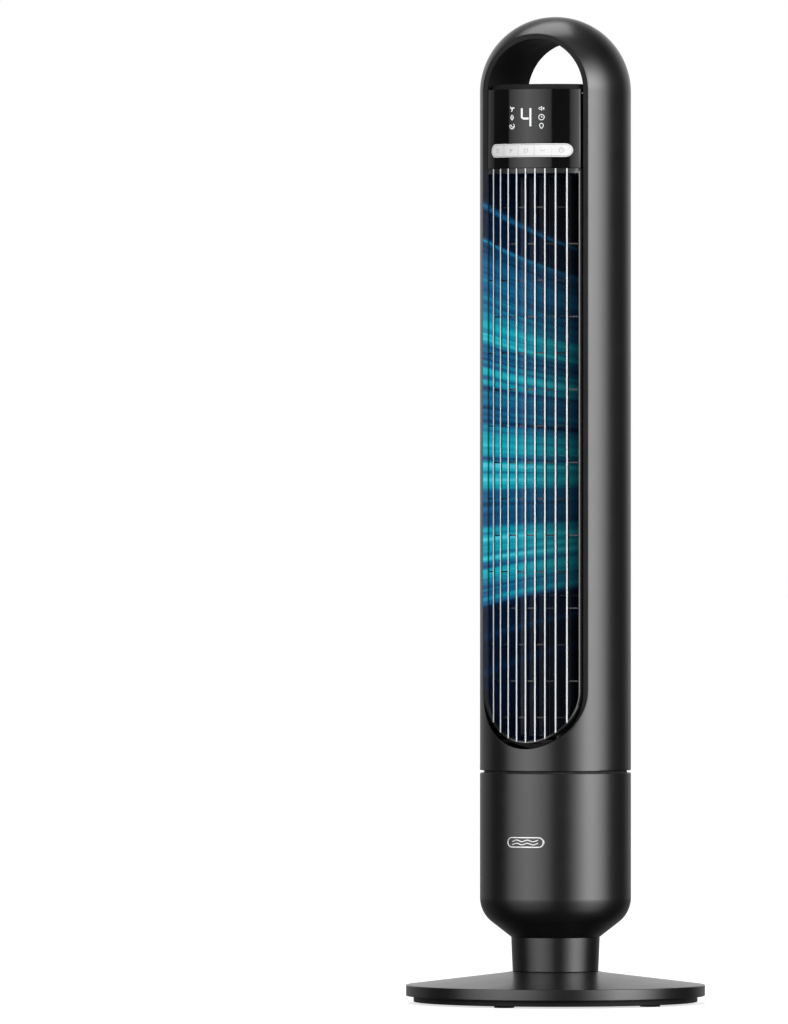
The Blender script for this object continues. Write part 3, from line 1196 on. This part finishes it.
def make_fan_motor(motor_metal, rubber, swing_axis):
    place = {"parent": swing_axis, "location": (0, IMPELLER_SETBACK, 0)}
    damper_top = DUCT_FLOOR_LOW - FIT_GAP
    damper_low = damper_top - DAMPER_THICKNESS
    near, far = DAMPER_RADII
    damper = [(near, damper_low), (far, damper_low), (far, damper_top), (near, damper_top)]
    turned("motor_damper", damper, rubber, SMALL_STEPS, **place)

    top = damper_low - FIT_GAP
    low = top - FAN_MOTOR_HEIGHT
    bore = SHAFT_RADIUS + RUNNING_GAP
    bore_low = low + MOTOR_BORE_LIFT
    step = FAN_MOTOR_HEIGHT * 0.30
    foot = FAN_MOTOR_RADIUS * 0.80
    shoulder = FAN_MOTOR_RADIUS * 0.85
    motor = [(0, low), (foot, low), (foot, low + step * 0.4), (FAN_MOTOR_RADIUS, low + step),
             (FAN_MOTOR_RADIUS, top - step * 0.5), (shoulder, top), (bore, top), (bore, bore_low),
             (0, bore_low)]
    turned("fan_motor", motor, motor_metal, SMALL_STEPS, **place)


def make_top_bearing(bronze, rubber, swing_axis):
    place = {"parent": swing_axis, "location": (0, IMPELLER_SETBACK, 0)}
    bush_in = TOP_PIN_RADIUS + BUSH_GAP
    bush_out = bush_in + BUSH_WALL
    boot_in = bush_out + FIT_GAP
    boot_out = boot_in + BOOT_WALL
    low = DUCT_ROOF_LOW - BUSH_BELOW
    top = DUCT_ROOF_TOP + BUSH_ABOVE
    for name, near, far, material in (("bearing_bush", bush_in, bush_out, bronze),
                                      ("bearing_boot", boot_in, boot_out, rubber)):
        ring = [(near, low), (far, low), (far, top), (near, top)]
        turned(name, ring, material, SMALL_STEPS, **place)


def make_wire_loom(sleeve, swing_axis):
    """Wires in a sleeve, from the fan motor up the side of the duct to the control board."""
    side = -(COLUMN_INNER - LOOM_RADIUS - LOOM_SIDE_GAP)
    motor_x = -FAN_MOTOR_RADIUS - LOOM_RADIUS - LOOM_END_GAP
    motor_z = DUCT_FLOOR_LOW - 0.0200
    board_x = -CONTROL_BOARD_WIDTH / 2 - LOOM_RADIUS - LOOM_END_GAP
    board_z = PANEL_LOW + 0.0150
    # Knots of the loom: out of the motor, up the column's left side, and in to the board
    route = [Vector(point) for point in (
        (motor_x, 0.0060, motor_z),
        (-0.0600, 0.0020, motor_z - 0.0010), (side, -0.0040, motor_z + 0.0150),
        (side, -0.0040, motor_z + 0.0900), (side, -0.0040, (motor_z + board_z) / 2),
        (side, -0.0040, board_z - 0.0700), (side, -0.0030, board_z - 0.0120),
        (-0.0600, 0.0100, board_z + 0.0020), (board_x, 0.0190, board_z))]
    padded = [route[0] * 2 - route[1], *route, route[-1] * 2 - route[-2]]
    points = []
    for a, b, c, d in zip(padded, padded[1:], padded[2:], padded[3:]):
        for k in range(3):
            t = k / 3
            points.append(0.5 * (2 * b + (c - a) * t + (2 * a - 5 * b + 4 * c - d) * t**2
                                 + (3 * b - a - 3 * c + d) * t**3))
    points.append(route[-1])
    curve = bpy.data.curves.new("wire_loom", "CURVE")
    curve.dimensions = "3D"
    curve.bevel_depth = LOOM_RADIUS
    curve.bevel_resolution = 1
    curve.render_resolution_u = 0
    curve.use_fill_caps = True
    spline = curve.splines.new("POLY")
    spline.points.add(len(points) - 1)
    for knot, point in zip(spline.points, points):
        knot.co = (*point, 1)
    loom = bpy.data.objects.new("wire_loom", curve)
    bpy.context.scene.collection.objects.link(loom)
    loom.parent = swing_axis
    curve.materials.append(sleeve)


# ---------------------------------------------------------------------------------------------
# Assembly
# ---------------------------------------------------------------------------------------------

def main():
    for item in list(bpy.data.objects):
        bpy.data.objects.remove(item, do_unlink=True)

    satin_black = make_material("satin_black_plastic", (0.035, 0.035, 0.037), 0.38)
    bezel_black = make_material("bezel_black_plastic", (0.020, 0.020, 0.021), 0.45)
    gloss_black = make_material("gloss_black_plastic", (0.008, 0.008, 0.009), 0.06)
    grille_grey = make_material("grille_plastic", (0.16, 0.16, 0.17), 0.30)
    inner_black = make_material("inner_black_plastic", (0.030, 0.030, 0.030), 0.60)
    key_white = make_material("key_white_plastic", (0.80, 0.80, 0.80), 0.35)
    glide_white = make_material("glide_plastic", (0.78, 0.77, 0.72), 0.45)
    rubber = make_material("rubber", (0.020, 0.020, 0.020), 0.80)
    steel = make_material("zinc_steel", (0.62, 0.62, 0.60), 0.35, 1.0)
    motor_metal = make_material("motor_steel", (0.50, 0.50, 0.50), 0.40, 1.0)
    bronze = make_material("bearing_bronze", (0.60, 0.40, 0.18), 0.40, 1.0)
    badge_metal = make_material("badge_metal", (0.70, 0.70, 0.72), 0.28, 1.0)
    circuit = make_material("circuit_board", (0.03, 0.16, 0.07), 0.50)

    swing_axis = make_axis("swing_axis", (0, 0, 0))
    pinion_axis = make_axis("pinion_axis", (PINION_X, 0, 0))
    impeller_axis = make_axis("impeller_axis", (0, IMPELLER_SETBACK, 0), swing_axis)

    make_base(satin_black, steel, rubber)
    make_neck(satin_black, inner_black, steel)
    board_low = make_lower_housing(satin_black, rubber, badge_metal)
    make_power_board(board_low, circuit)
    make_deck(inner_black, glide_white, steel)

    make_swing_drive(glide_white, motor_metal, swing_axis, pinion_axis)
    make_turntable(inner_black, glide_white, swing_axis)

    make_outer_shell(satin_black, swing_axis)
    make_opening_bezel(bezel_black, swing_axis)
    make_handle_liner(bezel_black, swing_axis)
    make_head_cap(bezel_black, swing_axis)
    make_rear_grille(inner_black, swing_axis)
    make_front_grille(grille_grey, swing_axis)

    make_display_panel(gloss_black, swing_axis)
    make_keys(key_white, swing_axis)
    make_display_board(circuit, swing_axis)
    make_control_board(circuit, swing_axis)

    make_impeller(inner_black, steel, impeller_axis)
    make_duct(inner_black, swing_axis)
    make_fan_motor(motor_metal, rubber, swing_axis)
    make_top_bearing(bronze, rubber, swing_axis)
    make_wire_loom(rubber, swing_axis)


main()
